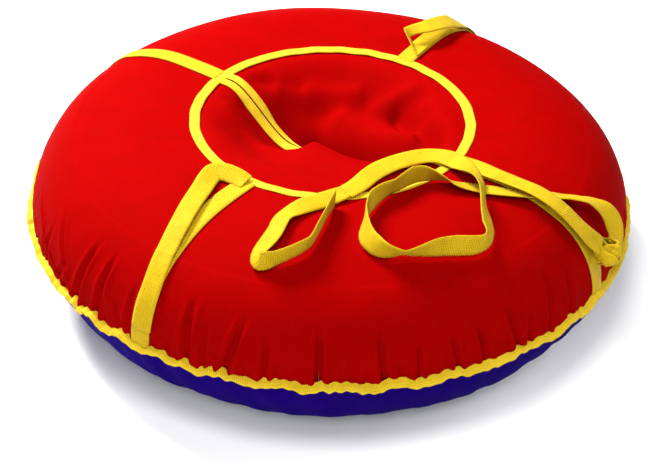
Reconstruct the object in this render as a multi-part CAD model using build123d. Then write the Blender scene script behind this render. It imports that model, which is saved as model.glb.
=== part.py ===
from build123d import *
import math
import os

# Round towable tube: a fabric cover over an inflated rubber inner tube, with a slit
# seat panel, four radial load straps, two side handles and a front tow strap.
# Millimetres, +Z up. The origin is on the ground at the middle of the tube.
# +X is the front, where the tow strap is tied, and +Y is the rider's left.

# Cover
TOP_HEIGHT = 225.0         # top of the tube
CROWN_RADIUS = 250.0       # radius of the circle along the top of the tube
SEAM_RADIUS = 394.5        # seam between the red top and the blue bottom
SEAT_RADIUS = 180.0        # opening of the tube, closed by the seat panel
INNER_SLOPE_RADIUS = 700.0
SHOULDER_RADIUS = 200.0
SHOULDER_TURN = 25.0       # degrees of the profile that the shoulder arc takes
FLOOR_RADIUS = 318.0       # flat disc that rests on the ground
BOTTOM_ROUND = 140.0       # radius of the lower corner of the profile
FABRIC = 1.5
GAP = 0.3                  # air between layers that lie on each other

# Seat panel
SEAT_DEPTH = 64.5
SLOPE_OUTER_R = 165.0
SLOPE_INNER_R = 60.0
BULGE_SHARE = 0.82         # part of the depth that the bulge on the right side takes back
GRID_STEP = 12.0
SLIT_HALF = 0.6
LEFT_SIDE, RIGHT_SIDE = 1, -1

# Webbing and binding tape
WEB_WIDTH = 25.0
WEB_THICK = 2.0
RING_TAPE = 16.0
SLIT_TAPE = 12.0
TAPE = 1.6
RIM_TAPE = 12.5
RIM_THICK = 4.0
RIM_DROOP = 30.0
FRONT, LEFT, REAR, RIGHT = -1.0, 88.0, 178.0, -92.0   # azimuths of the four straps
SLIT_TURN = -2.0           # the slit runs in line with the rear strap

# Inner tube and its valve
TUBE_MIN_RADIUS = 115.0
RUBBER = 1.6
VALVE_Z = 112.5
STEM_RADIUS = 3.85
STEM_TIP_X = -78.0
CAP_RADIUS = 5.5
CAP_LENGTH = 11.0

# Tow strap: a round stand-in with the section of the flat webbing
STRAP_TUBE = math.sqrt(4 * WEB_WIDTH * WEB_THICK / math.pi)
FILLET_SHARE = 0.45
KNOT_CENTRE = (401.5, 8.0, 161.0)
KNOT_LENGTH = 36.0
KNOT_THICK = 26.0

# Values that follow from the driving dimensions
turn = math.radians(SHOULDER_TURN)
shoulder_end_r = CROWN_RADIUS + SHOULDER_RADIUS * math.sin(turn)
shoulder_end_z = TOP_HEIGHT - SHOULDER_RADIUS * (1 - math.cos(turn))
wall_radius = (SEAM_RADIUS - shoulder_end_r) / (1 - math.sin(turn))
wall_centre = (SEAM_RADIUS - wall_radius, shoulder_end_z - wall_radius * math.cos(turn))
seam_z = wall_centre[1]
wall_start = 90 - SHOULDER_TURN

chord_r, chord_z = SEAM_RADIUS - FLOOR_RADIUS, seam_z
chord = math.hypot(chord_r, chord_z)
reach = math.sqrt(BOTTOM_ROUND ** 2 - (chord / 2) ** 2)
bottom_centre = (FLOOR_RADIUS + chord_r / 2 - reach * chord_z / chord,
                 chord_z / 2 + reach * chord_r / chord)
bottom_seam_angle = math.degrees(math.atan2(seam_z - bottom_centre[1],
                                            SEAM_RADIUS - bottom_centre[0]))

os.makedirs("parts", exist_ok=True)


def save(node, *solids):
    """Write one node; several separate solids become one group."""
    shape = solids[0] if len(solids) == 1 else Compound(children=list(solids))
    export_step(shape, f"parts/{node}.step")


def top_arcs(lift, start_r, end_angle):
    """Profile of the tube's top, raised by lift, from start_r out to end_angle on its wall."""
    slope = INNER_SLOPE_RADIUS + lift
    start = math.degrees(math.acos((start_r - CROWN_RADIUS) / slope))
    return [
        CenterArc((CROWN_RADIUS, TOP_HEIGHT - INNER_SLOPE_RADIUS), slope, start, 90 - start),
        CenterArc((CROWN_RADIUS, TOP_HEIGHT - SHOULDER_RADIUS), SHOULDER_RADIUS + lift,
                  90, -SHOULDER_TURN),
        CenterArc(wall_centre, wall_radius + lift, wall_start, end_angle - wall_start),
    ]


def top_profile(radius):
    """Height of the cover at a radius, and the angle of its normal above the ground."""
    if radius < CROWN_RADIUS:
        centre, size = (CROWN_RADIUS, TOP_HEIGHT - INNER_SLOPE_RADIUS), INNER_SLOPE_RADIUS
    elif radius < shoulder_end_r:
        centre, size = (CROWN_RADIUS, TOP_HEIGHT - SHOULDER_RADIUS), SHOULDER_RADIUS
    else:
        centre, size = wall_centre, wall_radius
    angle = math.acos((radius - centre[0]) / size)
    return centre[1] + size * math.sin(angle), angle


def top_band(start_r, low, high, end_angle):
    """Closed section between two copies of the top profile."""
    inner = top_arcs(low, start_r, end_angle)
    outer = top_arcs(high, start_r, end_angle)
    ends = [Line(inner[0] @ 0, outer[0] @ 0), Line(inner[-1] @ 1, outer[-1] @ 1)]
    return make_face(inner + outer + ends)


def bottom_arc(inset):
    """Lower corner of the cover, moved in by inset, from the seam to the flat disc."""
    size = BOTTOM_ROUND - inset
    floor_angle = -math.degrees(math.asin((bottom_centre[1] - inset) / size))
    return CenterArc(bottom_centre, size, bottom_seam_angle, floor_angle - bottom_seam_angle)


def spin(section):
    return revolve(Plane.XZ * section, Axis.Z)


def smooth(value):
    value = min(max(value, 0.0), 1.0)
    return value * value * (3 - 2 * value)


seat_rim_z = top_profile(SEAT_RADIUS - RING_TAPE / 2)[0] - 3 * GAP


def seat_height(side, x, y):
    """Sagging seat panel; its right half bulges up in front of the middle."""
    sag = smooth((SLOPE_OUTER_R - math.hypot(x, y)) / (SLOPE_OUTER_R - SLOPE_INNER_R))
    if side == RIGHT_SIDE:
        beside_slit = smooth((y + 72) / 62)
        behind_middle = smooth((30 - x) / 150)
        sag *= 1 - BULGE_SHARE * (1 - beside_slit) * (1 - behind_middle)
    return seat_rim_z - SEAT_DEPTH * sag


def seat_layer(side, lift, thick, outer_radius, slit_edge, strip_width):
    """Piece of cloth on the left or right of the seat, cut to a strip along the slit."""
    steps = int(SEAT_RADIUS // GRID_STEP) + 1
    rows = []
    for x in [row * GRID_STEP for row in range(-steps, steps + 1)]:
        column = [side * col * GRID_STEP for col in range(steps + 1)]
        rows.append([Vector(x, y, seat_height(side, x, y) + lift) for y in column])
    sheet = Face.make_surface_from_array_of_points(rows)
    slab = Solid.extrude(sheet, Vector(0, 0, thick))
    tall = 4 * SEAT_DEPTH
    disc = Pos(0, 0, seat_rim_z) * Cylinder(outer_radius, tall)
    middle = side * (slit_edge + strip_width / 2)
    strip = Pos(0, middle, seat_rim_z) * Box(4 * SEAT_RADIUS, strip_width, tall)
    return slab & disc & strip


def cover_point(azimuth, radius, aside, lift):
    """Point above the cover, aside along the direction of growing azimuth."""
    height, angle = top_profile(min(radius, SEAM_RADIUS))
    out = radius + lift * math.cos(angle)
    turned = math.radians(azimuth)
    return Vector(out * math.cos(turned) - aside * math.sin(turned),
                  out * math.sin(turned) + aside * math.cos(turned),
                  height + lift * math.sin(angle))


def cover_normal(azimuth, radius):
    angle = top_profile(min(radius, SEAM_RADIUS))[1]
    turned = math.radians(azimuth)
    return Vector(math.cos(angle) * math.cos(turned),
                  math.cos(angle) * math.sin(turned), math.sin(angle))


def loose_band(azimuth, stations, samples):
    """Flat webbing through stations of (radius, aside, lift) over the cover."""
    path = Spline(*[cover_point(azimuth, *station) for station in stations])
    sections = []
    for index in range(samples + 1):
        place = path.position_at(index / samples)
        along = path.tangent_at(index / samples)
        up = cover_normal(azimuth, math.hypot(place.X, place.Y))
        across = along.cross(up).normalized()
        plane = Plane(origin=place, x_dir=across, z_dir=along)
        sections.append(plane * Rectangle(WEB_WIDTH, WEB_THICK))
    return loft(sections, ruled=True)


def rounded_tube(points, name):
    """Round tube along straight runs joined by tangent arcs."""
    points = [Vector(*p) for p in points]
    radii = []
    for before, here, after in zip(points, points[1:], points[2:]):
        half_turn = math.radians((here - before).get_angle(after - here)) / 2
        shorter = min((here - before).length, (after - here).length)
        radii.append(FILLET_SHARE * shorter / math.tan(half_turn))
    path = FilletPolyline(*points, radius=radii)
    start = Plane(origin=path @ 0, z_dir=path % 0)
    tube = sweep(start * Circle(STRAP_TUBE / 2), path=path)
    expected = math.pi * STRAP_TUBE ** 2 / 4 * path.length
    print(f"{name}: length {path.length:.0f}, volume ratio {tube.volume / expected:.3f},",
          "radii", [round(r) for r in radii])
    return tube


# Cover panels
save("top_cover", spin(top_band(SEAT_RADIUS, -FABRIC, 0, 0.4)))

outer_corner = bottom_arc(0)
inner_corner = bottom_arc(FABRIC)
bottom_section = make_face([
    outer_corner,
    inner_corner,
    Line(outer_corner @ 0, inner_corner @ 0),
    Line(outer_corner @ 1, (0, 0)),
    Line((0, 0), (0, FABRIC)),
    Line((0, FABRIC), inner_corner @ 1),
])
save("bottom_cover", spin(bottom_section))

seat_cut_r = SEAT_RADIUS - GAP
tape_cut_r = SEAT_RADIUS - RING_TAPE / 2 - GAP
for side, name in ((LEFT_SIDE, "left"), (RIGHT_SIDE, "right")):
    panel = seat_layer(side, -FABRIC, FABRIC, seat_cut_r, SLIT_HALF, SEAT_RADIUS)
    save(f"seat_panel_{name}", Rot(0, 0, SLIT_TURN) * panel)
    tape = seat_layer(side, GAP, TAPE, tape_cut_r, SLIT_HALF, SLIT_TAPE)
    save(f"slit_binding_{name}", Rot(0, 0, SLIT_TURN) * tape)

# Tape over the seat opening and folded tape around the outer seam
ring_inner_r = SEAT_RADIUS - RING_TAPE / 2
ring_outer_r = SEAT_RADIUS + RING_TAPE / 2
ring_centre = (CROWN_RADIUS, TOP_HEIGHT - INNER_SLOPE_RADIUS)
ring_edges = []
for lift in (GAP, GAP + TAPE):
    size = INNER_SLOPE_RADIUS + lift
    start = math.degrees(math.acos((ring_inner_r - CROWN_RADIUS) / size))
    end = math.degrees(math.acos((ring_outer_r - CROWN_RADIUS) / size))
    ring_edges.append(CenterArc(ring_centre, size, start, end - start))
ring_edges += [Line(ring_edges[0] @ end, ring_edges[1] @ end) for end in (0, 1)]
save("seat_ring_binding", spin(make_face(ring_edges)))

droop = math.radians(RIM_DROOP)
rim_tip = (SEAM_RADIUS + GAP + RIM_TAPE * math.cos(droop), seam_z - RIM_TAPE * math.sin(droop))
rim_section = Polyline(
    (SEAM_RADIUS + GAP, seam_z + RIM_THICK / 2),
    (rim_tip[0], rim_tip[1] + RIM_THICK / 2),
    (rim_tip[0], rim_tip[1] - RIM_THICK / 2),
    (SEAM_RADIUS + GAP, seam_z - RIM_THICK / 2),
    close=True,
)
save("rim_binding", spin(make_face(rim_section)))

# Load straps sewn on the cover from the seat ring to the outer seam
strap_section = top_band(ring_outer_r + GAP, GAP, GAP + WEB_THICK, 2.2)
strap = extrude(Plane.XZ * strap_section, amount=WEB_WIDTH / 2, both=True)
for name, azimuth in (("front", FRONT), ("left", LEFT), ("rear", REAR), ("right", RIGHT)):
    save(f"{name}_strap", Rot(0, 0, azimuth) * strap)

# Bar tacks: blocks of stitching across each strap beside the seat ring
tack_r = ring_outer_r + 9
tack_lift = GAP + WEB_THICK + 0.1
TACK_SIZE = (5.0, 16.0, 0.8)
tacks = []
for azimuth in (FRONT, LEFT, REAR, RIGHT):
    tilt = 90 - math.degrees(top_profile(tack_r)[1])
    block = Pos(tack_r, 0, top_profile(tack_r)[0] + tack_lift + TACK_SIZE[2] / 2)
    tacks.append(Rot(0, 0, azimuth) * block * Rot(0, tilt, 0) * Box(*TACK_SIZE))
save("bar_tacks", *tacks)

# Loose bands: (radius, aside, lift) from the seat ring out to the seam
END_LIFT = 7.0
FLAT_LIFT = 6.2
right_handle = loose_band(RIGHT, [
    (194, 0, END_LIFT), (197, -22, 8), (211, -36, 9.5), (240, -27, 9), (275, -17, 8),
    (307, -8, FLAT_LIFT), (340, -2, FLAT_LIFT), (375, 2, FLAT_LIFT), (393, 2, END_LIFT),
], 30)
save("right_handle", right_handle)
left_handle = loose_band(LEFT, [
    (194, 0, END_LIFT), (203, 9, 20), (215, 10, 31), (237, -2, 31.5), (262, -8, 27),
    (290, -11, 17), (318, -9, 8.5), (350, -3, FLAT_LIFT), (375, 0, FLAT_LIFT), (393, 0, END_LIFT),
], 30)
save("left_handle", left_handle)
tow_bridle = loose_band(FRONT, [
    (194, 0, 5), (225, -4, 7), (262, -6, 12), (304, -8, 19), (340, -9, 13),
    (368, -8, 12), (386, 0, 16),
], 24)
save("tow_bridle", tow_bridle)

# Knot of the tow strap around the bridle
half_length, half_thick = KNOT_LENGTH / 2, KNOT_THICK / 2
knot_outline = [
    EllipticalCenterArc((0, 0), half_length, half_thick, arc_size=180),
    Line((-half_length, 0), (half_length, 0)),
]
knot = revolve(make_face(knot_outline), Axis.X)
save("tow_knot", Pos(*KNOT_CENTRE) * Rot(0, 0, 84) * knot)

# Tow strap from the knot across the top of the tube, then its hand loop
tow_route = [
    (399, 20, 166), (391, 41, 172), (373, 55, 187), (350, 47, 204), (326, 23, 219),
    (303, -7, 228), (273, -31, 232), (238, -44, 232), (203, -50, 231), (173, -63, 230),
    (152, -89, 230), (143, -121, 231), (145, -154, 232), (159, -185, 232), (187, -207, 231),
    (220, -203, 229), (250, -179, 227), (273, -151, 227), (285, -123, 228), (280, -95, 231),
    (264, -69, 236), (247, -45, 241), (227, -24, 239), (202, -11, 234), (172, -10, 231),
    (147, -28, 230), (131, -57, 229), (122, -89, 229), (115, -119, 230), (109, -145, 230),
]
hand_route = [
    (109, -145, 230), (103, -171, 230), (87, -196, 233), (76, -221, 234), (78, -252, 233),
    (87, -279, 231), (92, -300, 228), (102, -311, 226), (115, -304, 228), (124, -283, 230),
    (129, -255, 231), (125, -226, 233), (118, -199, 234), (115, -175, 238), (113, -155, 241),
]
save("tow_strap", rounded_tube(tow_route, "tow_strap"))
save("hand_loop", rounded_tube(hand_route, "hand_loop"))


def tube_section(inset):
    """Section of the inner tube, moved in by inset from the cover's outer face."""
    top = top_arcs(-inset, CROWN_RADIUS - 0.001, 0)[1:]
    corner = bottom_arc(inset)
    mid_z = TOP_HEIGHT / 2
    depth = CROWN_RADIUS - TUBE_MIN_RADIUS - (inset - FABRIC - GAP)
    inner_wall = EllipticalCenterArc((CROWN_RADIUS, mid_z), depth, mid_z - inset, 90, arc_size=180)
    return make_face(top + [
        Line(top[-1] @ 1, corner @ 0),
        corner,
        Line(corner @ 1, inner_wall @ 1),
        inner_wall,
    ])


tube_inset = FABRIC + GAP
save("inner_tube", spin(tube_section(tube_inset)) - spin(tube_section(tube_inset + RUBBER)))

# Valve on the inner wall of the tube, pointing at the middle, reached through the slit
PATCH_RADIUS, PATCH_THICK = 20.0, 2.5
patch_x = -TUBE_MIN_RADIUS + 2.0
BOSS_RADIUS, BOSS_LENGTH = 8.0, 12.0


def along_x(x, outline):
    """Turned part whose outline (distance along X, radius) starts at x."""
    points = [(x + px, radius) for px, radius in outline]
    section = make_face(Polyline(*points, close=True))
    return Pos(0, 0, VALVE_Z) * revolve(Plane.XZ * section, Axis.X)


stem_clear = STEM_RADIUS + 0.05
save("valve_patch", along_x(patch_x, [
    (0, stem_clear), (0, PATCH_RADIUS), (PATCH_THICK * 0.4, PATCH_RADIUS),
    (PATCH_THICK, BOSS_RADIUS + 4), (PATCH_THICK + 2, BOSS_RADIUS),
    (PATCH_THICK + BOSS_LENGTH, STEM_RADIUS + 1.2), (PATCH_THICK + BOSS_LENGTH, stem_clear),
]))
stem_length = STEM_TIP_X - patch_x
BORE_RADIUS = 2.6
save("valve_stem", along_x(patch_x, [
    (0, BORE_RADIUS), (0, STEM_RADIUS), (stem_length - 0.8, STEM_RADIUS),
    (stem_length, STEM_RADIUS - 0.8), (stem_length, BORE_RADIUS),
]))
save("valve_core", along_x(STEM_TIP_X, [
    (-20, 0), (-20, 1.6), (-17, 2.3), (-4, 2.3), (-4, 1.0), (-0.6, 1.0), (-0.6, 0),
]))
cap_bore = STEM_RADIUS + 0.25
cap_start = STEM_TIP_X - CAP_LENGTH + 3.5
cap = along_x(cap_start, [
    (0, cap_bore), (0, CAP_RADIUS), (CAP_LENGTH - 1, CAP_RADIUS), (CAP_LENGTH, CAP_RADIUS - 1),
    (CAP_LENGTH, 0), (CAP_LENGTH - 1.8, 0), (CAP_LENGTH - 1.8, cap_bore),
])
CAP_FLUTES = 12
for index in range(CAP_FLUTES):
    flute = Pos(cap_start + CAP_LENGTH / 2, 0, VALVE_Z) * Rot(360 * index / CAP_FLUTES, 0, 0)
    cap -= flute * Pos(0, 0, CAP_RADIUS + 0.35) * Rot(0, 90, 0) * Cylinder(0.8, CAP_LENGTH - 3)
save("valve_cap", cap)
seal_x = cap_start + CAP_LENGTH - 1.8 - 1.2
seal_radius = cap_bore - 0.05
save("valve_cap_seal", along_x(seal_x, [(0, 0), (0, seal_radius), (1.15, seal_radius), (1.15, 0)]))
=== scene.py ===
"""Looks of a fabric-covered tow tube: gathered red top, blue bottom, yellow webbing and tape."""

import math

import bmesh
import bpy
import numpy as np
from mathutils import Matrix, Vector


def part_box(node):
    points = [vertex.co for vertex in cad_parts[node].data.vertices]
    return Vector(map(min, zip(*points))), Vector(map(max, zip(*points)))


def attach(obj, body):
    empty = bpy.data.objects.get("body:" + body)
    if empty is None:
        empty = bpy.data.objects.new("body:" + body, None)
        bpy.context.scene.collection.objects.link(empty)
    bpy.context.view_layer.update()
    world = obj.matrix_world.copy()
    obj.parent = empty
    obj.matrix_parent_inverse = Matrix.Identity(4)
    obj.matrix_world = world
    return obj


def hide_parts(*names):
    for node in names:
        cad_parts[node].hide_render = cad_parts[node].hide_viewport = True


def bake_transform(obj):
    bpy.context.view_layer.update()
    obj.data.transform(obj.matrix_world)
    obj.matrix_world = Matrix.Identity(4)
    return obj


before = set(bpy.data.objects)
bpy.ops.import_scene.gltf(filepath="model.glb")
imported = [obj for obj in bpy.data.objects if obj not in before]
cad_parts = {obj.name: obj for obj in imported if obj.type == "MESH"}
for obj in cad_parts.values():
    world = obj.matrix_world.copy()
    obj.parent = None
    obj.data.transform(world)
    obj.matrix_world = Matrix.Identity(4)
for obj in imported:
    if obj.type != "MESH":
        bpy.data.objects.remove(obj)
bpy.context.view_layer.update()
MM = 0.001

# ---------------------------------------------------------------- sizes from the frame
top_low, top_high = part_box("top_cover")
SEAM_R, SEAM_Z, TOP_Z = top_high[0], top_low[2], top_high[2]
ring_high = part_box("seat_ring_binding")[1]
RING_R = ring_high[0] - 8 * MM
RING_TAPE = 13.5 * MM
RING_SHIFT = np.array((1.6, 1.0, 0)) * MM

# Profile of the tube: the same arcs as the CAD cover
CROWN_R = 250 * MM
SLOPE_RADIUS = 700 * MM
SHOULDER_RADIUS = 200 * MM
SHOULDER_TURN = math.radians(25)
FLOOR_R = 318 * MM
BOTTOM_ROUND = 140 * MM
shoulder_end_r = CROWN_R + SHOULDER_RADIUS * math.sin(SHOULDER_TURN)
WALL_RADIUS = (SEAM_R - shoulder_end_r) / (1 - math.sin(SHOULDER_TURN))
wall_centre = (SEAM_R - WALL_RADIUS, SEAM_Z)

# Cloth, webbing, tape and thread
FABRIC = 1.3 * MM
WEB_WIDTH = 25 * MM
WEB_THICK = 1.8 * MM
WEB_COLUMNS = 9
HAND_LOOP_WIDTH = 0.92 * WEB_WIDTH
TAPE_THICK = 1.4 * MM
SLIT_TAPE = 15 * MM
RIM_WIDTH = 9.2 * MM
RIM_THICK = 3.0 * MM
KNOT_THICK = 2.6 * MM
STITCH_PITCH, STITCH_LENGTH, STITCH_THICK = 4.2 * MM, 2.9 * MM, 0.55 * MM
STITCH_SIDES = 6

# Azimuths of the straps, of the sewn part of the front one, and of the slit
FRONT, LEFT, REAR, RIGHT = (math.radians(a) for a in (-1.2, 88, 178, -92))
FRONT_SEWN = math.radians(-2.1)
SLIT_TURN = math.radians(-2)

# ---------------------------------------------------------------- small mathematics
CURVE_STEPS = 24


def smooth(value):
    value = np.clip(value, 0.0, 1.0)
    return value * value * (3 - 2 * value)


def unit(vectors):
    return vectors / np.maximum(np.linalg.norm(vectors, axis=-1, keepdims=True), 1e-12)


def run_length(points):
    """Length of a line up to each of its points."""
    return np.concatenate([[0], np.cumsum(np.linalg.norm(np.diff(points, axis=0), axis=1))])


def turned_about_axis(radius, angle, height):
    """Points at a radius, an angle and a height about the upright axis."""
    return np.stack(np.broadcast_arrays(radius * np.cos(angle), radius * np.sin(angle), height), axis=-1)


def catmull(points, count):
    """Smooth line through points, evenly spaced."""
    points = np.array(points, float)
    padded = np.vstack([2 * points[0] - points[1], points, 2 * points[-1] - points[-2]])
    fine = []
    for a, b, c, d in zip(padded, padded[1:], padded[2:], padded[3:]):
        t = np.linspace(0, 1, CURVE_STEPS, endpoint=False)[:, None]
        fine.append(0.5 * (2 * b + (c - a) * t + (2 * a - 5 * b + 4 * c - d) * t ** 2
                           + (3 * b - a - 3 * c + d) * t ** 3))
    fine = np.vstack(fine + [points[-1:]])
    length = run_length(fine[:, :3])
    even = np.linspace(0, length[-1], count)
    return np.stack([np.interp(even, length, fine[:, k]) for k in range(fine.shape[1])], axis=1)


# ---------------------------------------------------------------- shape of the cover

def profile_table():
    """Rows of (distance from the seat ring, radius, height, outward and upward part of the normal)."""
    slope = np.linspace(math.acos((RING_R - CROWN_R) / SLOPE_RADIUS), math.pi / 2, 30)
    shoulder = np.linspace(math.pi / 2, math.pi / 2 - SHOULDER_TURN, 30)
    wall = np.linspace(math.pi / 2 - SHOULDER_TURN, 0, 60)
    rows = []
    for angles, centre, size in (
            (slope, (CROWN_R, TOP_Z - SLOPE_RADIUS), SLOPE_RADIUS),
            (shoulder[1:], (CROWN_R, TOP_Z - SHOULDER_RADIUS), SHOULDER_RADIUS),
            (wall[1:], wall_centre, WALL_RADIUS)):
        rows.append(np.stack([centre[0] + size * np.cos(angles), centre[1] + size * np.sin(angles),
                              np.cos(angles), np.sin(angles)], axis=1))
    rows = np.vstack(rows)
    return np.column_stack([run_length(rows[:, :2]), rows])


PROFILE = profile_table()
SIDE_LENGTH = PROFILE[-1, 0]


def profile_at(distance):
    """Radius, height and the two parts of the normal at a distance from the seat ring."""
    return [np.interp(distance, PROFILE[:, 0], PROFILE[:, k]) for k in range(1, 5)]


def distance_of_radius(radius):
    return np.interp(radius, PROFILE[:, 1], PROFILE[:, 0])


# Creases that the gathered seam pulls into the top. Each one has the azimuth where it starts and where
# it meets the seam, in degrees, the share of the side where it starts, and its depth and half width in
# millimetres.
LONG_CREASES = [
    (-135, -111, 0.76, 4.0, 4.2), (-122, -109, 0.67, 2.8, 4.0), (-107, -109, 0.65, 3.8, 3.8),
    (-102, -103, 0.66, 4.0, 3.6), (-95, -95, 0.73, 2.8, 3.4), (-83, -83, 0.69, 4.2, 4.2),
    (-79.5, -80, 0.79, 2.8, 3.2), (-73, -76, 0.72, 4.8, 4.2), (-69, -69, 0.77, 3.2, 3.4),
    (-60, -60, 0.74, 5.2, 3.8), (-50, -49, 0.74, 4.0, 3.6), (-43, -43, 0.81, 3.4, 3.2),
    (-37, -36, 0.80, 3.6, 3.4), (-32, -31, 0.79, 3.4, 3.4), (-26, -24, 0.75, 4.4, 4.0),
    (-21, -22, 0.84, 2.8, 3.2), (-15, -17, 0.69, 4.2, 3.8), (-10, -11, 0.70, 3.8, 3.8),
]
random = np.random.default_rng(41)
SHORT_CREASES = [
    (angle + random.uniform(-3, 3), angle, random.uniform(0.76, 0.95), random.uniform(0.3, 2.0),
     random.uniform(2.8, 5.2))
    for angle in np.linspace(0, 360, 96, endpoint=False) + random.uniform(-1.2, 1.2, 96)
]
# Waves of the gathered seam: how many go round it, where they start, and the size of the broad ones
COMMONEST_WAVE = 41
WAVES = [(k, random.uniform(0, math.tau), 1 / (1 + abs(k - COMMONEST_WAVE) / 10)) for k in range(19, 84, 3)]
CRINKLES = [(k, random.uniform(0, math.tau)) for k in range(118, 210, 7)]
WAVE_HEIGHT, CRINKLE_HEIGHT = 2.7, 0.26
SEAM_REACH = 30 * MM


def rim_wave(angle):
    """Uneven wave of the gathered seam, in metres up and down."""
    big = sum(size * np.sin(k * angle + phase) for k, phase, size in WAVES)
    small = sum(np.sin(k * angle + phase) for k, phase in CRINKLES)
    return (WAVE_HEIGHT * np.tanh(big) + CRINKLE_HEIGHT * small) * MM


def pucker(angle, distance):
    """Depth of the radial folds that the gathered seam pulls into the fabric."""
    depth = np.zeros(np.broadcast(angle, distance).shape)
    share = distance / SIDE_LENGTH
    for first, last, start, size, width in LONG_CREASES + SHORT_CREASES:
        run = np.clip((share - start) / (1 - start), 0, 1)
        place = np.radians(first + (last - first) * run)
        away = (angle - place + math.pi) % math.tau - math.pi
        across = away * SEAM_R / (width * MM)
        pull = size * MM * smooth(run / 0.4)
        depth -= pull * np.exp(-across ** 2)
        depth += 0.5 * pull * np.exp(-(np.abs(across) - 2.0) ** 2)
    return depth


def slack(angle, distance):
    """Broad soft unevenness of the inflated cover."""
    fade = smooth(distance / (60 * MM))
    uneven = 0.9 * np.sin(3 * angle + 0.6) + 0.7 * np.sin(7 * angle + 2.1 + 9 * distance)
    return fade * uneven * MM


def cover(angle, distance, lift):
    """Points of the top cover, or lifted off it, at an angle and a distance from the seat ring."""
    radius, height, out, up = profile_at(distance)
    relief = pucker(angle, distance) + slack(angle, distance) + lift
    near_seam = smooth((distance - SIDE_LENGTH + SEAM_REACH) / SEAM_REACH)
    return turned_about_axis(radius + relief * out, angle,
                             height + relief * up + rim_wave(angle) * near_seam)


# ---------------------------------------------------------------- shape of the seat
SEAT_RIM_Z = np.interp(RING_R, PROFILE[:, 1], PROFILE[:, 2]) - 0.8 * MM
SEAT_DEPTH = 64.5 * MM
SAG_OUTER, SAG_INNER = 165 * MM, 60 * MM
TIGHTEST = 0.86
LEFT_SIDE, RIGHT_SIDE = 1, -1

# Folds: the start and end of each, its height (a hollow has a negative one) and its half width, all in
# millimetres
LEFT_FOLDS = [
    ((-146, 34), (-100, 70), -7.0, 12), ((-116, 54), (-30, 108), 10.0, 15),
    ((-96, 22), (-36, 22), -13.0, 13), ((-40, 24), (104, 26), -42.0, 17),
    ((-26, 70), (84, 64), 20.0, 22), ((8, 104), (44, 134), 8.0, 14),
    ((40, 104), (138, 44), -15.0, 12), ((84, 114), (132, 84), 6.0, 14),
]
RIGHT_FOLDS = [
    ((-134, -48), (-60, -58), 5.0, 13), ((-50, -56), (6, -46), 4.0, 14),
    ((6, -44), (118, -30), 14.0, 14), ((-126, -16), (-34, -26), -6.0, 12),
    ((-30, -110), (70, -92), -3.0, 18), ((-90, -112), (-20, -128), 2.0, 16),
]


def fold(x, y, start, end, height, width):
    """A ridge or hollow along a line, with soft ends."""
    start, end = np.array(start) * MM, np.array(end) * MM
    along = end - start
    share = ((x - start[0]) * along[0] + (y - start[1]) * along[1]) / (along @ along)
    near = np.clip(share, 0, 1)
    away = np.hypot(x - start[0] - near * along[0], y - start[1] - near * along[1])
    return height * MM * np.exp(-(away / (width * MM)) ** 2)


def tight_share(x, y):
    """Share of its sag that the near right part of the seat loses, because it's pulled tight."""
    beside_slit = smooth((y + 66 * MM) / (60 * MM))
    behind_middle = smooth((34 * MM - x) / (150 * MM))
    return TIGHTEST * (1 - beside_slit) * (1 - behind_middle)


def seat_height(side, x, y):
    """Height of the seat cloth: it sags in the middle and lies in folds, calmer beside the slit."""
    radius = np.hypot(x, y)
    sag = smooth((SAG_OUTER - radius) / (SAG_OUTER - SAG_INNER))
    folds = LEFT_FOLDS
    if side == RIGHT_SIDE:
        folds = RIGHT_FOLDS
        sag = sag * (1 - tight_share(x, y))
    inside = smooth((RING_R - 4 * MM - radius) / (40 * MM))
    slit_calm = smooth(np.abs(y) / (16 * MM))
    relief = sum(fold(x, y, *line) for line in folds)
    return SEAT_RIM_Z - SEAT_DEPTH * sag + relief * inside * (0.25 + 0.75 * slit_calm)


# ---------------------------------------------------------------- mesh makers

def grid_normals(points, closed):
    """Normals of a grid of points, whose rows may close into a ring."""
    if closed:
        along = np.roll(points, -1, axis=0) - np.roll(points, 1, axis=0)
    else:
        along = np.gradient(points, axis=0)
    across = np.gradient(points, axis=1)
    return unit(np.cross(along, across))


def mesh_object(name, vertices, faces, uvs, material):
    """Smooth-shaded object; its cloth coordinates are in metres along and across the cloth."""
    mesh = bpy.data.meshes.new(name)
    mesh.from_pydata(vertices.tolist(), [], faces)
    layer = mesh.uv_layers.new(name="cloth")
    corners = np.empty(len(mesh.loops), dtype=np.int32)
    mesh.loops.foreach_get("vertex_index", corners)
    layer.data.foreach_set("uv", uvs[corners].astype(np.float32).ravel())
    mesh.polygons.foreach_set("use_smooth", [True] * len(mesh.polygons))
    mesh.materials.append(material)
    mesh.update()
    piece = bpy.data.objects.new(name, mesh)
    bpy.context.collection.objects.link(piece)
    return piece


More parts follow.
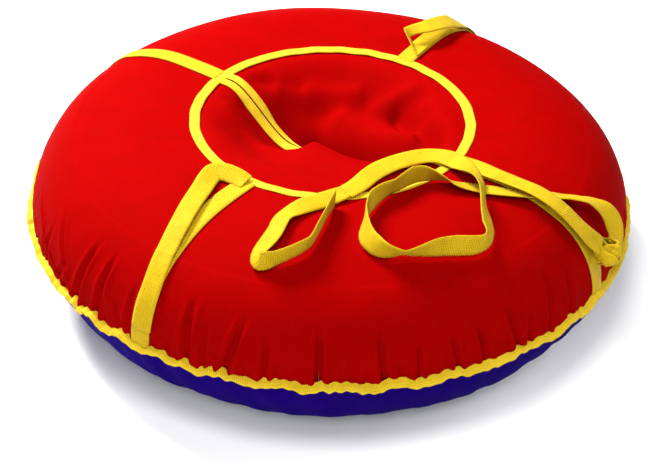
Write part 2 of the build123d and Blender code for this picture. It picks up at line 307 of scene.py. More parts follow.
def cloth(name, points, thick, material, closed=False, soft_edges=True):
    """Closed solid of a cloth layer around a grid of points: rows along it, columns across."""
    rows, columns = points.shape[:2]
    normals = grid_normals(points, closed)
    half = np.full(columns, thick / 2)
    if soft_edges:
        half[0] = half[-1] = 0.3 * thick
    upper = points + normals * half[None, :, None]
    lower = points - normals * half[None, :, None]
    vertices = np.concatenate([upper.reshape(-1, 3), lower.reshape(-1, 3)])
    v = run_length(points[:, columns // 2])
    u = run_length(points[rows // 2])
    uv = np.stack(np.broadcast_arrays(u[None, :], v[:, None]), axis=-1).reshape(-1, 2)
    total = rows * columns
    faces = []
    last = rows if closed else rows - 1
    for i in range(last):
        here, there = i * columns, ((i + 1) % rows) * columns
        for j in range(columns - 1):
            faces.append((here + j, there + j, there + j + 1, here + j + 1))
            faces.append((total + here + j + 1, total + there + j + 1, total + there + j, total + here + j))
        faces.append((total + here, total + there, there, here))
        faces.append((here + columns - 1, there + columns - 1, total + there + columns - 1,
                      total + here + columns - 1))
    if not closed:
        end = (rows - 1) * columns
        for j in range(columns - 1):
            faces.append((j, j + 1, total + j + 1, total + j))
            faces.append((total + end + j, total + end + j + 1, end + j + 1, end + j))
    return mesh_object(name, vertices, faces, np.concatenate([uv, uv]), material)


def ribbon(name, centre, normals, width):
    """Flat webbing along a line, its face turned to the normals."""
    along = unit(np.gradient(centre, axis=0))
    side = unit(np.cross(along, normals))
    across = np.linspace(-0.5, 0.5, WEB_COLUMNS) * width
    points = centre[:, None] + side[:, None] * across[None, :, None]
    return cloth(name, points, WEB_THICK, YELLOW)


def place_on(line, run, distance):
    """Point of a line at a distance along it."""
    return np.array([np.interp(distance, run, line[:, k]) for k in range(3)])


def one_stitch(place, along, up):
    """Points of a short raised thread, as four rings of six."""
    side = np.cross(along, up)
    points = []
    for share, size in ((-1, 0.35), (-0.6, 0.95), (0.6, 0.95), (1, 0.35)):
        for turn in np.linspace(0, math.tau, STITCH_SIDES, endpoint=False):
            spread = side * math.cos(turn) * 0.75 + up * math.sin(turn) * 0.55
            points.append(place + along * share * STITCH_LENGTH / 2 + spread * size * STITCH_THICK)
    return points


def stitch_faces(first):
    """Faces of a stitch whose points start at an index."""
    sides = range(STITCH_SIDES)
    faces = []
    for ring in range(3):
        for k in sides:
            a = first + ring * STITCH_SIDES + k
            b = first + ring * STITCH_SIDES + (k + 1) % STITCH_SIDES
            faces.append((a, b, b + STITCH_SIDES, a + STITCH_SIDES))
    faces.append(tuple(first + k for k in reversed(sides)))
    faces.append(tuple(first + 3 * STITCH_SIDES + k for k in sides))
    return faces


def stitches(name, lines, material):
    """Rows of short raised threads along lines of (points, normals)."""
    vertices, faces = [], []
    for points, normals in lines:
        run = run_length(points)
        for middle in np.arange(STITCH_PITCH, run[-1] - STITCH_PITCH / 2, STITCH_PITCH):
            place = place_on(points, run, middle)
            along = unit(place_on(points, run, middle + MM) - place)
            faces.extend(stitch_faces(len(vertices)))
            vertices.extend(one_stitch(place, along, unit(place_on(normals, run, middle))))
    return mesh_object(name, np.array(vertices), faces, np.zeros((len(vertices), 2)), material)


# ---------------------------------------------------------------- materials

def new_material(name):
    """Empty material with its nodes, its links and its shader."""
    material = bpy.data.materials.new(name)
    material.use_nodes = True
    tree = material.node_tree
    return material, tree.nodes, tree.links, tree.nodes["Principled BSDF"]


def node(nodes, kind, **values):
    """New node with its inputs or its settings filled in."""
    made = nodes.new(kind)
    for key, value in values.items():
        if key in made.inputs:
            made.inputs[key].default_value = value
        else:
            setattr(made, key, value)
    return made


def threads(nodes, links, source, direction, scale):
    """Even bands across one direction of the cloth."""
    made = node(nodes, "ShaderNodeTexWave", bands_direction=direction, wave_profile="SIN", Scale=scale)
    links.new(source, made.inputs["Vector"])
    return made.outputs["Fac"]


def noise(nodes, links, source, **values):
    made = node(nodes, "ShaderNodeTexNoise", **values)
    links.new(source, made.inputs["Vector"])
    return made.outputs["Fac"]


def multiply_add(nodes, links, value, factor, added):
    made = node(nodes, "ShaderNodeMath", operation="MULTIPLY_ADD")
    links.new(value, made.inputs[0])
    made.inputs[1].default_value = factor
    links.new(added, made.inputs[2])
    return made.outputs[0]


def colour_from(nodes, links, shader, value, stops):
    """Colours the shader by a value, through stops of (value, colour)."""
    ramp = nodes.new("ShaderNodeValToRGB")
    elements = ramp.color_ramp.elements
    while len(elements) < len(stops):
        elements.new(0.5)
    for element, (place, colour) in zip(elements, stops):
        element.position = place
        element.color = (*colour, 1)
    links.new(value, ramp.inputs["Fac"])
    links.new(ramp.outputs["Color"], shader.inputs["Base Color"])


def bump_from(nodes, links, shader, height, strength, depth):
    bump = node(nodes, "ShaderNodeBump", Strength=strength, Distance=depth)
    links.new(height, bump.inputs["Height"])
    links.new(bump.outputs["Normal"], shader.inputs["Normal"])


def fabric_material(name, dark, mid, light, thread_scale, rough, bump_depth, sheen):
    """Woven cloth: crossing threads, soft colour clouds and a fine grain."""
    material, nodes, links, shader = new_material(name)
    uv = node(nodes, "ShaderNodeUVMap", uv_map="cloth").outputs["UV"]
    place = nodes.new("ShaderNodeTexCoord").outputs["Object"]
    clouds = noise(nodes, links, place, Scale=22.0, Detail=5.0, Roughness=0.65)
    grain = noise(nodes, links, place, Scale=420.0, Detail=3.0)
    mottle = multiply_add(nodes, links, grain, 0.35, clouds)
    colour_from(nodes, links, shader, mottle, [(0.40, dark), (0.67, mid), (0.95, light)])
    weave = node(nodes, "ShaderNodeMath", operation="MULTIPLY")
    links.new(threads(nodes, links, uv, "X", thread_scale), weave.inputs[0])
    links.new(threads(nodes, links, uv, "Y", thread_scale), weave.inputs[1])
    rough_weave = multiply_add(nodes, links, grain, 0.8, weave.outputs[0])
    bump_from(nodes, links, shader, rough_weave, 0.6, bump_depth)
    shader.inputs["Roughness"].default_value = rough
    shader.inputs["Sheen Weight"].default_value = sheen
    shader.inputs["Sheen Roughness"].default_value = 0.45
    shader.inputs["Sheen Tint"].default_value = (*light, 1)
    shader.inputs["Specular IOR Level"].default_value = 0.01
    return material


def webbing_material(name, rib_scale, lane_scale, painted_groove_shade, body, light, rough=0.62):
    """Ribbed webbing: slanting cross ribs broken into lanes that run along it, with painted shade in the
    grooves and a painted highlight on the raised ribs.
    """
    material, nodes, links, shader = new_material(name)
    uv = node(nodes, "ShaderNodeUVMap", uv_map="cloth").outputs["UV"]
    place = nodes.new("ShaderNodeTexCoord").outputs["Object"]
    turned = node(nodes, "ShaderNodeMapping")
    turned.inputs["Rotation"].default_value = (0, 0, math.radians(16))
    links.new(uv, turned.inputs["Vector"])
    lanes = threads(nodes, links, uv, "X", lane_scale)
    ribs = threads(nodes, links, turned.outputs["Vector"], "Y", rib_scale)
    height = multiply_add(nodes, links, lanes, 0.55, ribs)
    wear = noise(nodes, links, place, Scale=60.0, Detail=4.0, Roughness=0.65)
    # The colour follows the rib height, so the grooves get painted shade and the raised ribs a painted
    # highlight; the wear noise adds a random tone.
    shade = multiply_add(nodes, links, height, 0.45, wear)
    colour_from(nodes, links, shader, shade, [(0.34, painted_groove_shade), (0.66, body), (1.0, light)])
    bump_from(nodes, links, shader, height, 0.7, 0.25 * MM)
    shader.inputs["Roughness"].default_value = rough
    shader.inputs["Sheen Weight"].default_value = 0.02
    shader.inputs["Specular IOR Level"].default_value = 0.05
    return material


def moulded_material(name, dark, light, rough, grain_scale, bump_depth, metallic=0.0):
    """Thread, rubber, plastic or turned metal with a mottled tone and a fine grain."""
    material, nodes, links, shader = new_material(name)
    place = nodes.new("ShaderNodeTexCoord").outputs["Object"]
    grain = noise(nodes, links, place, Scale=grain_scale, Detail=5.0, Roughness=0.6)
    colour_from(nodes, links, shader, grain, [(0.35, dark), (0.7, light)])
    bump_from(nodes, links, shader, grain, 0.4, bump_depth)
    shader.inputs["Roughness"].default_value = rough
    shader.inputs["Metallic"].default_value = metallic
    return material


RED = fabric_material("red_fabric", (0.205, 0.0, 0.0), (0.222, 0.0, 0.0), (0.240, 0.0, 0.0),
                      150, 0.85, 0.26 * MM, 0.008)
BLUE = fabric_material("blue_fabric", (0.005, 0.0, 0.082), (0.006, 0.0, 0.096), (0.008, 0.0, 0.112),
                       200, 0.75, 0.12 * MM, 0.02)
# Each webbing's first colour is the painted shade of its grooves; its last, the lighter colour of the raised
# ribs, is a painted highlight.
YELLOW = webbing_material("yellow_webbing", 120, 98, (0.25, 0.142, 0.001), (0.39, 0.255, 0.0025),
                          (0.45, 0.305, 0.006))
# The tape takes a lighter copy of the webbing's yellow: painted light, standing in for light that the lamps
# don't give the front of the rim.
TAPE = webbing_material("yellow_tape", 140, 98, (0.30, 0.175, 0.002), (0.50, 0.330, 0.006),
                        (0.55, 0.395, 0.020), 0.7)
THREAD = moulded_material("thread", (0.36, 0.21, 0.004), (0.52, 0.35, 0.01), 0.6, 900, 0.1 * MM)
RUBBER = moulded_material("tube_rubber", (0.010, 0.010, 0.011), (0.030, 0.029, 0.028), 0.62, 160, 0.1 * MM)
VALVE = moulded_material("valve_rubber", (0.015, 0.015, 0.016), (0.035, 0.034, 0.033), 0.55, 400, 0.05 * MM)
BRASS = moulded_material("valve_brass", (0.62, 0.44, 0.17), (0.80, 0.62, 0.28), 0.3, 500, 0.02 * MM, 1.0)
PLASTIC = moulded_material("cap_plastic", (0.012, 0.012, 0.013), (0.025, 0.025, 0.026), 0.45, 700, 0.02 * MM)

# ---------------------------------------------------------------- camera
CAMERA_AZIMUTH, CAMERA_RISE, CAMERA_ROLL = (math.radians(a) for a in (-59.0, 37.37, 1.32))
CAMERA_DISTANCE = 1.998
AIM = Vector((-0.0132, 0.0106, 0.0208))


def make_camera():
    data = bpy.data.cameras.new("camera")
    data.sensor_width = 36
    data.lens = 79.3
    data.clip_end = 20
    camera = bpy.data.objects.new("camera", data)
    level = CAMERA_DISTANCE * math.cos(CAMERA_RISE)
    camera.location = (level * math.cos(CAMERA_AZIMUTH), level * math.sin(CAMERA_AZIMUTH),
                       CAMERA_DISTANCE * math.sin(CAMERA_RISE))
    camera.rotation_euler = (AIM - camera.location).to_track_quat("-Z", "Y").to_euler()
    camera.rotation_euler.rotate_axis("Z", CAMERA_ROLL)
    bpy.context.collection.objects.link(camera)
    bpy.context.scene.camera = camera


make_camera()

# ---------------------------------------------------------------- tow strap and hand loop
# Route points in millimetres, given closer together than in the CAD part, then the turn of the
# face in degrees: at 0 the webbing lies flat on the cover, at 90 it stands on edge.
TOW_ROUTE = [
    (399, 20, 166, 138), (391, 37, 173, 144), (384, 41, 185, 150), (376, 41, 195, 166),
    (366, 36, 203, 192), (350, 26, 213, 216), (331, 10, 219, 216), (312, -5, 223, 206),
    (292, -22, 227, 200), (268, -36, 229, 195), (247, -45, 229, 191), (226, -52, 230, 196),
    (211, -56, 231, 206), (200, -59, 235, 222), (187, -62, 237, 240), (174, -67, 238, 258),
    (164, -78, 238, 266), (160, -95, 237, 260), (156, -112, 237, 252), (151, -130, 238, 268),
    (150, -152, 239, 282), (158, -180, 241, 268), (169, -203, 240, 245), (181, -216, 237, 233),
    (196, -222, 235, 238), (213, -222, 233, 270), (228, -213, 231, 296), (242, -197, 231, 274),
    (254, -180, 230, 250), (269, -163, 228, 236), (285, -150, 226, 240), (294, -139, 226, 250),
    (294, -127, 227, 240), (285, -111, 229, 222), (275, -98, 234, 228), (263, -83, 239, 243),
    (254, -68, 243, 246), (244, -55, 245, 234), (232, -44, 244, 216), (217, -33, 241, 190),
    (199, -19, 235, 166), (180, -9, 230, 164), (163, -10, 228, 168), (148, -20, 228, 166),
    (136, -36, 228, 164), (126, -53, 228, 164), (118, -73, 228, 161), (114, -93, 228, 164),
    (114, -112, 228, 167), (112, -129, 228, 172), (108, -143, 228, 172),
]
HAND_ROUTE = [
    (108, -143, 229, -8), (101, -160, 229, -18), (93, -178, 230, -22), (85, -193, 231, -20),
    (80, -207, 231, -8), (76, -221, 231, 9), (76, -234, 232, 15), (81, -249, 232, 18),
    (84, -264, 230, 14), (85, -280, 228, 18), (87, -297, 227, 30), (93, -309, 226, 42),
    (101, -308, 227, 58), (110, -299, 229, 80), (119, -287, 232, 87), (127, -275, 235, 90),
    (132, -263, 237, 97), (132, -253, 238, 95), (129, -240, 240, 94), (126, -225, 241, 95),
    (121, -206, 242, 96), (115, -185, 240, 94), (110, -170, 235, 92),
]


def nurbs_path(name, route):
    """Points along the smooth line that the route's points control."""
    curve = bpy.data.curves.new(name, "CURVE")
    curve.dimensions = "3D"
    curve.resolution_u = 12
    spline = curve.splines.new("NURBS")
    spline.points.add(len(route) - 1)
    for point, place in zip(spline.points, route):
        point.co = (place[0] * MM, place[1] * MM, place[2] * MM, 1)
    spline.order_u = 3
    spline.use_endpoint_u = True
    carrier = bpy.data.objects.new(name, curve)
    bpy.context.collection.objects.link(carrier)
    bpy.context.view_layer.update()
    mesh = bpy.data.meshes.new_from_object(carrier.evaluated_get(bpy.context.evaluated_depsgraph_get()))
    path = np.array([v.co[:] for v in mesh.vertices])
    bpy.data.objects.remove(carrier)
    return path


def upward(points):
    """Direction away from the cover at points over it."""
    radius = np.hypot(points[:, 0], points[:, 1])
    out, up = profile_at(distance_of_radius(radius))[2:]
    return np.stack([out * points[:, 0] / radius, out * points[:, 1] / radius, up], axis=1)


def turned_normals(path, degrees):
    """Face direction along a path: away from the cover, then turned about the path."""
    turn = np.radians(degrees)[:, None]
    along = unit(np.gradient(path, axis=0))
    away = upward(path)
    flat_normal = unit(away - along * np.sum(away * along, axis=1, keepdims=True))
    return flat_normal * np.cos(turn) + np.cross(along, flat_normal) * np.sin(turn)


def route_turns(path, route):
    """Turn at each point of a path, between the turns of the route's points."""
    control = np.array(route, float)
    run, length = run_length(control[:, :3]), run_length(path)
    return np.interp(length / length[-1], run / run[-1], control[:, 3])


def finish_piece(piece, cad_node):
    """Lets a piece ride on the tube in the place of a node of the CAD part."""
    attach(piece, "tube_body")
    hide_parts(cad_node)


tow_path = nurbs_path("tow_path", TOW_ROUTE)
tow_strap = ribbon("tow_webbing", tow_path, turned_normals(tow_path, route_turns(tow_path, TOW_ROUTE)),
                   WEB_WIDTH)
finish_piece(tow_strap, "tow_strap")
hand_path = nurbs_path("hand_path", HAND_ROUTE)
hand_loop = ribbon("hand_loop_webbing", hand_path,
                   turned_normals(hand_path, route_turns(hand_path, HAND_ROUTE)), HAND_LOOP_WIDTH)
finish_piece(hand_loop, "hand_loop")

# ---------------------------------------------------------------- cover panels
ROUND_STEPS = 1440
angles = np.linspace(0, math.tau, ROUND_STEPS, endpoint=False)
smooth_part, gathered_part = np.linspace(0, 0.55, 34, endpoint=False), np.linspace(0.55, 1, 56)
distances = np.concatenate([smooth_part, gathered_part]) * SIDE_LENGTH
top_points = cover(angles[:, None], distances[None, :], -FABRIC / 2)
top_panel = cloth("red_top_panel", top_points, FABRIC, RED, closed=True, soft_edges=False)
finish_piece(top_panel, "top_cover")

# Start radius of the bottom's mesh, which is then closed at its middle
MIDDLE_R = 0.5 * MM

# Centre of the arc that rounds the lower corner, between the floor and the seam
chord_r, chord_z = SEAM_R - FLOOR_R, SEAM_Z
chord = math.hypot(chord_r, chord_z)
reach = math.sqrt(BOTTOM_ROUND ** 2 - (chord / 2) ** 2)
corner_r = FLOOR_R + chord_r / 2 - reach * chord_z / chord
corner_z = chord_z / 2 + reach * chord_r / chord


def corner_bend(steps):
    """Angles of the lower corner's arc, from the floor up to the seam."""
    start = math.atan2(-corner_z, FLOOR_R - corner_r)
    stop = math.atan2(SEAM_Z - corner_z, SEAM_R - corner_r)
    return np.linspace(start, stop, steps)


def bottom_points(angle_steps):
    """Blue panel: flat where it rests, then round the lower corner up to the seam."""
    flat_steps, corner_steps = 14, 40
    bend = corner_bend(corner_steps)
    radius = np.concatenate([np.linspace(MIDDLE_R, FLOOR_R, flat_steps, endpoint=False),
                             corner_r + BOTTOM_ROUND * np.cos(bend)])
    height = np.concatenate([np.zeros(flat_steps), corner_z + BOTTOM_ROUND * np.sin(bend)])
    share = np.concatenate([np.zeros(flat_steps), np.linspace(0, 1, corner_steps)])
    angle = angle_steps[:, None]
    wrinkle = sum(size * np.sin(k * angle * 0.999 + phase + 2 * share[None, :] * (k % 5))
                  for k, phase, size in WAVES[::2])
    bulge = (1.3 * np.tanh(wrinkle) + 1.2 * np.sin(11 * angle + 1.0)) * MM * smooth(share / 0.4)
    seam_wave = rim_wave(angle) * smooth((share - 0.62) / 0.38)
    out = radius[None, :] + bulge * smooth(share * 2.5) - 0.4 * MM * share
    up = height[None, :] + seam_wave - 0.2 * bulge * share + FABRIC / 2
    return turned_about_axis(out, angle, up)


def close_middle(piece, gap):
    """Joins the innermost points of a round panel, each face of it by itself."""
    work = bmesh.new()
    work.from_mesh(piece.data)
    middle = [v for v in work.verts if v.co.xy.length < gap]
    bmesh.ops.remove_doubles(work, verts=middle, dist=gap)
    work.to_mesh(piece.data)
    work.free()


bottom_panel = cloth("blue_bottom_panel", bottom_points(angles[::2])[:, ::-1], FABRIC, BLUE,
                     closed=True, soft_edges=False)
close_middle(bottom_panel, 2.2 * MIDDLE_R)
finish_piece(bottom_panel, "bottom_cover")

# ---------------------------------------------------------------- seat panels and slit tape


def seat_grid(side, inner, outer, rows, columns, lift, radius):
    """Half of the seat, or a strip of it between two distances from the slit."""
    x = -radius * np.cos(np.linspace(0.012, math.pi - 0.012, rows))
    edge = np.sqrt(radius ** 2 - x ** 2)
    low, high = np.minimum(inner, edge * 0.98), np.minimum(outer, edge)
    y = side * (low[:, None] + (high - low)[:, None] * np.linspace(0, 1, columns)[None, :])
    x = np.broadcast_to(x[:, None], y.shape)
    turned_x = x * math.cos(SLIT_TURN) - y * math.sin(SLIT_TURN)
    turned_y = x * math.sin(SLIT_TURN) + y * math.cos(SLIT_TURN)
    return np.stack([turned_x, turned_y, seat_height(side, x, y) + lift], axis=-1)


SLIT_TAPE_LIFT = {LEFT_SIDE: 1.9 * MM, RIGHT_SIDE: 0.9 * MM}
CLOTH_GAP, TAPE_GAP, TAPE_INSET = 0.4 * MM, 0.9 * MM, 1.5 * MM
seat_panels, seat_grids = [], []
for side, name in ((LEFT_SIDE, "left"), (RIGHT_SIDE, "right")):
    grid = seat_grid(side, inner=CLOTH_GAP, outer=RING_R, rows=260, columns=110, lift=-FABRIC,
                     radius=RING_R + 2 * MM)
    panel = cloth(f"seat_cloth_{name}", grid[:, ::side], FABRIC, RED)
    finish_piece(panel, f"seat_panel_{name}")
    seat_panels.append(panel)
    seat_grids.append(grid)
    grid = seat_grid(side, inner=TAPE_GAP, outer=SLIT_TAPE - TAPE_INSET, rows=200, columns=9,
                     lift=SLIT_TAPE_LIFT[side], radius=RING_R - 3 * MM)
    tape = cloth(f"slit_tape_{name}", grid[:, ::side], TAPE_THICK, TAPE)
    finish_piece(tape, f"slit_binding_{name}")

# ---------------------------------------------------------------- tape around seat and rim
RIM_DROOP, RIM_DROOP_CHANGE, RIM_DROOP_BY_WAVE = 34, 16, 2400
RIM_CURL = 1.2 * MM
ring_across = np.linspace(-RING_TAPE / 2, RING_TAPE / 2, 9)
ring_angle = angles[::2][:, None]
ring_radius = RING_R + ring_across[None, :] + 0.5 * MM * np.sin(23 * ring_angle) * np.cos(5 * ring_angle)
ring_height = (TOP_Z - SLOPE_RADIUS + np.sqrt(SLOPE_RADIUS ** 2 - (ring_radius - CROWN_R) ** 2)
               + 1.1 * MM + 0.25 * MM * np.sin(31 * ring_angle + 1))
ring_points = (turned_about_axis(ring_radius, ring_angle, ring_height) + RING_SHIFT)[:, ::-1]
ring_tape = cloth("seat_ring_tape", ring_points, TAPE_THICK, TAPE, closed=True)
finish_piece(ring_tape, "seat_ring_binding")


def rim_points():
    """Folded tape on the seam: it waves up and down, and its droop in degrees changes with the wave."""
    angle = angles[:, None]
    wave_up = rim_wave(angle)
    change = RIM_DROOP_CHANGE * np.sin(29 * angle + 0.7) * np.cos(7 * angle)
    droop = np.radians(np.clip(RIM_DROOP + change - RIM_DROOP_BY_WAVE * wave_up, -5, 75))
    across = np.linspace(-0.35, 1.0, 11)[None, :] * RIM_WIDTH
    curl = RIM_CURL * np.sin(np.clip(across / RIM_WIDTH, 0, 1) * math.pi)
    radius = SEAM_R + across * np.cos(droop) + curl * np.sin(droop)
    height = SEAM_Z + wave_up - across * np.sin(droop) + curl * np.cos(droop)
    return turned_about_axis(radius, angle, height)


rim_tape = cloth("rim_tape", rim_points()[:, ::-1], RIM_THICK, TAPE, closed=True)
finish_piece(rim_tape, "rim_binding")

# ---------------------------------------------------------------- sewn straps
STRAP_LIFT = 1.3 * MM
strap_start = distance_of_radius(RING_R + RING_TAPE / 2 - 3 * MM)


def strap_points(azimuth):
    """Strip on the cover from the seat ring to the seam, along an azimuth."""
    distance = np.linspace(strap_start, SIDE_LENGTH - 1 * MM, 120)
    across = np.linspace(-0.5, 0.5, WEB_COLUMNS) * WEB_WIDTH
    angle = azimuth + across[None, :] / profile_at(distance)[0][:, None]
    return cover(angle, np.broadcast_to(distance[:, None], angle.shape), STRAP_LIFT)


seam_lines = []
for name, azimuth in (("front", FRONT_SEWN), ("left", LEFT), ("rear", REAR), ("right", RIGHT)):
    grid = strap_points(azimuth)
    strap = cloth(f"{name}_strap_webbing", grid, WEB_THICK, YELLOW)
    finish_piece(strap, f"{name}_strap")
    normals = grid_normals(grid, False)
    for column in (1, -2):
        seam_lines.append((grid[:, column] + normals[:, column] * WEB_THICK / 2, normals[:, column]))

# ---------------------------------------------------------------- loose bands
BAND_STEPS = 170
FOLD_STEPS, FOLD_SOFTENING = 16, 7


def over_cover(azimuth, radius, aside, lift):
    """Points above the cover, moved aside towards growing azimuth."""
    distance = distance_of_radius(np.minimum(radius, SEAM_R))
    base_r, height, out, up = profile_at(distance)
    reach = np.maximum(radius, base_r) + lift * out
    return np.stack([reach * math.cos(azimuth) - aside * math.sin(azimuth),
                     reach * math.sin(azimuth) + aside * math.cos(azimuth),
                     height + lift * up], axis=-1)


def loose_band(name, azimuth, stations):
    """Band through stations of (radius, aside, lift, turn in degrees) over the cover."""
    line = catmull(stations, BAND_STEPS)
    path = over_cover(azimuth, line[:, 0] * MM, line[:, 1] * MM, line[:, 2] * MM)
    return ribbon(name, path, turned_normals(path, line[:, 3]), WEB_WIDTH)


right_handle = loose_band("right_handle_webbing", RIGHT, [
    (189, 2, 4.5, -10), (190, -12, 7, -24), (194, -27, 9.5, -28), (202, -36, 10, -25),
    (217, -34, 10, -22), (242, -26, 9.5, -11), (275, -17, 9, -5), (302, -10, 8, -2),
    (327, -5, 6, 0), (349, -1, 5, -2), (366, 2, 4.6, -4), (380, 3, 4.6, -6), (392, 3, 4.6, -8),
])
# The left handle is folded back on itself. Its two edges are given as (radius, aside, lift), from the end
# that lies on the strap, up the fold and out again to the rim.
LEFT_HANDLE_UPPER = [
    (300, 12.5, 4.2), (275, 12.5, 4.2), (250, 12.5, 4.2), (224, 12, 4.2), (220, 14, 15), (226, 5, 20),
    (240, -9, 21), (262, -16, 18), (285, -17, 12.5), (307, -15.5, 8), (328, -14, 5.5), (350, -12.5, 4.6),
    (372, -12.5, 4.6), (392, -12.5, 4.6),
]
LEFT_HANDLE_LOWER = [
    (300, -12.5, 4.2), (265, -12.5, 4.2), (230, -12.5, 4.2), (197, -13, 4.2), (220, 25, 26), (232, 19, 27),
    (248, 13, 26), (268, 9, 25), (290, 8.5, 22), (310, 10, 19), (330, 11, 13), (350, 12, 8),
    (372, 12.5, 5), (392, 12.5, 4.6),
]


def edge_line(azimuth, stations):
    """Line along an edge of a folded band, with its corners slightly rounded."""
    stations = np.array(stations, float)
    spans = len(stations) - 1
    steps = np.linspace(0, spans, FOLD_STEPS * spans + 1)
    line = np.stack([np.interp(steps, np.arange(spans + 1), stations[:, k]) for k in range(3)], 1)
    kernel = np.hanning(FOLD_SOFTENING + 2)[1:-1]
    kernel = kernel / kernel.sum()
    line = np.pad(line, ((FOLD_SOFTENING // 2, FOLD_SOFTENING // 2), (0, 0)), "edge")
    line = np.stack([np.convolve(line[:, k], kernel, "valid") for k in range(3)], 1) * MM
    return over_cover(azimuth, line[:, 0], line[:, 1], line[:, 2])


def folded_band(name, azimuth, first_edge, second_edge):
    """Band ruled between its two edges."""
    first, second = edge_line(azimuth, first_edge), edge_line(azimuth, second_edge)
    share = np.linspace(0, 1, WEB_COLUMNS)[None, :, None]
    return cloth(name, first[:, None] * (1 - share) + second[:, None] * share, WEB_THICK, YELLOW)


left_handle = folded_band("left_handle_webbing", LEFT, LEFT_HANDLE_UPPER, LEFT_HANDLE_LOWER)
bridle = loose_band("tow_bridle_webbing", FRONT, [
    (190, 0, 4.5, 0), (219, -4, 6, 3), (247, -10, 9, -3), (274, -13, 12, -6), (300, -15, 17, -6),
    (325, -15, 18, -6), (345, -14, 15, -6), (358, -12, 14, -4), (368, -8, 14, 0), (378, 2, 14, -6),
])
finish_piece(bridle, "tow_bridle")

# Towards the rim each handle is sewn down. Here each handle's transform is baked into its mesh and its CAD
# part is hidden.
for handle, side, azimuth in ((right_handle, "right", RIGHT), (left_handle, "left", LEFT)):
    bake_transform(handle)
    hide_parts(f"{side}_handle")

# ---------------------------------------------------------------- knot
KNOT_SHIFT = np.array((-7, -5, 3)) * MM
KNOT_GROWTH = 1.2
KNOT_LINE_REACH = 0.74
knot_low, knot_high = (np.array(v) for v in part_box("tow_knot"))
knot_centre = (knot_low + knot_high) / 2 + KNOT_SHIFT
knot_half = (knot_high - knot_low) / 2 * KNOT_GROWTH


def knot_points():
    """Strap tied round itself: a three-lobed knot of flattened, crumpled webbing."""
    t = np.linspace(0, math.tau, 220, endpoint=False)
    line = np.stack([np.sin(t) + 2 * np.sin(2 * t), np.cos(t) - 2 * np.cos(2 * t), -1.5 * np.sin(3 * t)], 1)
    line = line / np.abs(line).max(axis=0)
    line = knot_centre + line[:, [2, 0, 1]] * knot_half * KNOT_LINE_REACH
    along = unit(np.roll(line, -1, axis=0) - np.roll(line, 1, axis=0))
    outward = unit(line - knot_centre + 0.004 * np.sin(5 * t)[:, None])
    side = unit(np.cross(along, outward))
    face = unit(np.cross(side, along))
    across = np.linspace(-0.5, 0.5, WEB_COLUMNS)
    crumple = (0.9 * np.sin(9 * t[:, None] + 5 * across) + 0.7 * np.sin(17 * t[:, None] - 9 * across)) * MM
    arch = 2.2 * MM * (1 - (2 * across) ** 2)
    width = (18 + 3 * np.sin(3 * t + 1) + 2 * np.sin(7 * t)) * MM
    return (line[:, None] + side[:, None] * (across[None, :, None] * width[:, None, None])
            + face[:, None] * (crumple + arch)[:, :, None])


tow_knot = cloth("tow_knot_webbing", knot_points(), KNOT_THICK, YELLOW, closed=True)
finish_piece(tow_knot, "tow_knot")

# ---------------------------------------------------------------- stitching
ring_normals = grid_normals(ring_points, True)
for edge in (1, -2):
    line = ring_points[:, edge] + ring_normals[:, edge] * TAPE_THICK / 2
    seam_lines.append((np.vstack([line, line[:1]]),
                       np.vstack([ring_normals[:, edge], ring_normals[:1, edge]])))
seam_stitches = stitches("seam_stitches", seam_lines, THREAD)
finish_piece(seam_stitches, "bar_tacks")

# ---------------------------------------------------------------- inner tube
TUBE_CLEAR = 7 * MM
TUBE_INNER_R = 115 * MM
TUBE_WALL = 1.6 * MM


def tube_profile():
    """Closed outline of the rubber tube inside the cover, as (radius, height)."""
    bend = corner_bend(24)[::-1]
    corner_size = BOTTOM_ROUND - TUBE_CLEAR
    corner = np.stack([corner_r + corner_size * np.cos(bend), corner_z + corner_size * np.sin(bend)], 1)
    run = np.linspace(distance_of_radius(CROWN_R), SIDE_LENGTH, 30)
    radius, height, out, up = profile_at(run)
    top = np.stack([radius - TUBE_CLEAR * out, height - TUBE_CLEAR * up], 1)
    turn = np.linspace(1.5, 0.5, 30)[1:-1] * math.pi
    middle = (top[0, 1] + corner[-1, 1]) / 2
    inner = np.stack([CROWN_R - (CROWN_R - TUBE_INNER_R) * np.cos(turn - math.pi),
                      middle + (top[0, 1] - middle) * np.sin(turn)], 1)
    return np.vstack([top, corner, inner])


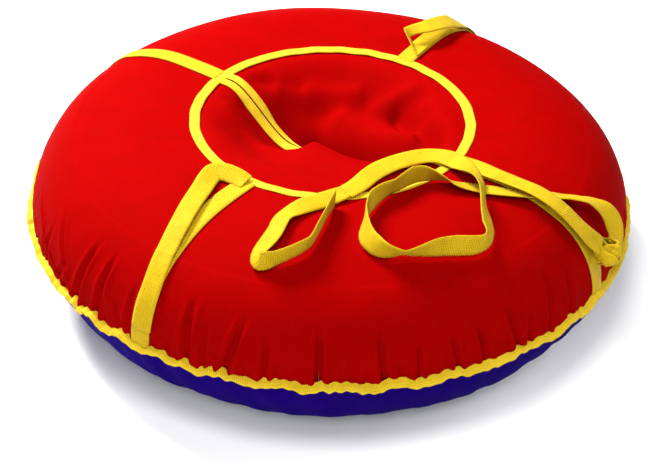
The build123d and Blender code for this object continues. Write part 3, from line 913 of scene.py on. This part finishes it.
outline = tube_profile()
tube_grid = turned_about_axis(outline[None, :, 0], angles[::8][:, None], outline[None, :, 1])
tube_grid = np.concatenate([tube_grid, tube_grid[:, :1]], axis=1)
tube_skin = cloth("rubber_inner_tube", tube_grid, TUBE_WALL, RUBBER, closed=True, soft_edges=False)
finish_piece(tube_skin, "inner_tube")

# ---------------------------------------------------------------- parts that keep their CAD shape
for node_name, material in (("valve_patch", VALVE), ("valve_stem", BRASS),
                            ("valve_core", BRASS), ("valve_cap", PLASTIC), ("valve_cap_seal", VALVE)):
    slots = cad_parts[node_name].data.materials
    slots.clear()
    slots.append(material)


# ---------------------------------------------------------------- floor, light, world
FLOOR_HALF = 6.0
LIT_POINT = Vector((0, 0, 0.1))


def make_floor():
    mesh = bpy.data.meshes.new("floor")
    corners = [(x * FLOOR_HALF, y * FLOOR_HALF, 0) for x, y in ((-1, -1), (1, -1), (1, 1), (-1, 1))]
    mesh.from_pydata(corners, [], [(0, 1, 2, 3)])
    material, _, _, shader = new_material("floor")
    shader.inputs["Base Color"].default_value = (0.96, 0.96, 0.96, 1)
    shader.inputs["Roughness"].default_value = 0.9
    mesh.materials.append(material)
    floor = bpy.data.objects.new("floor", mesh)
    bpy.context.collection.objects.link(floor)


def area_light(name, place, size, power):
    """Round soft light that faces the middle of the tube."""
    data = bpy.data.lights.new(name, "AREA")
    data.shape = "DISK"
    data.size = size
    data.energy = power
    lamp = bpy.data.objects.new(name, data)
    lamp.location = place
    lamp.rotation_euler = (LIT_POINT - Vector(place)).to_track_quat("-Z", "Y").to_euler()
    bpy.context.collection.objects.link(lamp)


def make_world():
    world = bpy.data.worlds.new("studio")
    world.use_nodes = True
    background = world.node_tree.nodes["Background"]
    background.inputs["Color"].default_value = (1, 1, 1, 1)
    background.inputs["Strength"].default_value = 0.11
    bpy.context.scene.world = world


make_floor()
area_light("key", (-1.55, 0.30, 1.95), 1.0, 176)
area_light("back_right", (1.75, 1.15, 1.40), 1.5, 28)
area_light("near", (0.85, -1.75, 1.60), 1.4, 30)
area_light("top", (0.35, -0.95, 2.30), 0.8, 30)
make_world()
bpy.context.scene.view_settings.view_transform = "Standard"
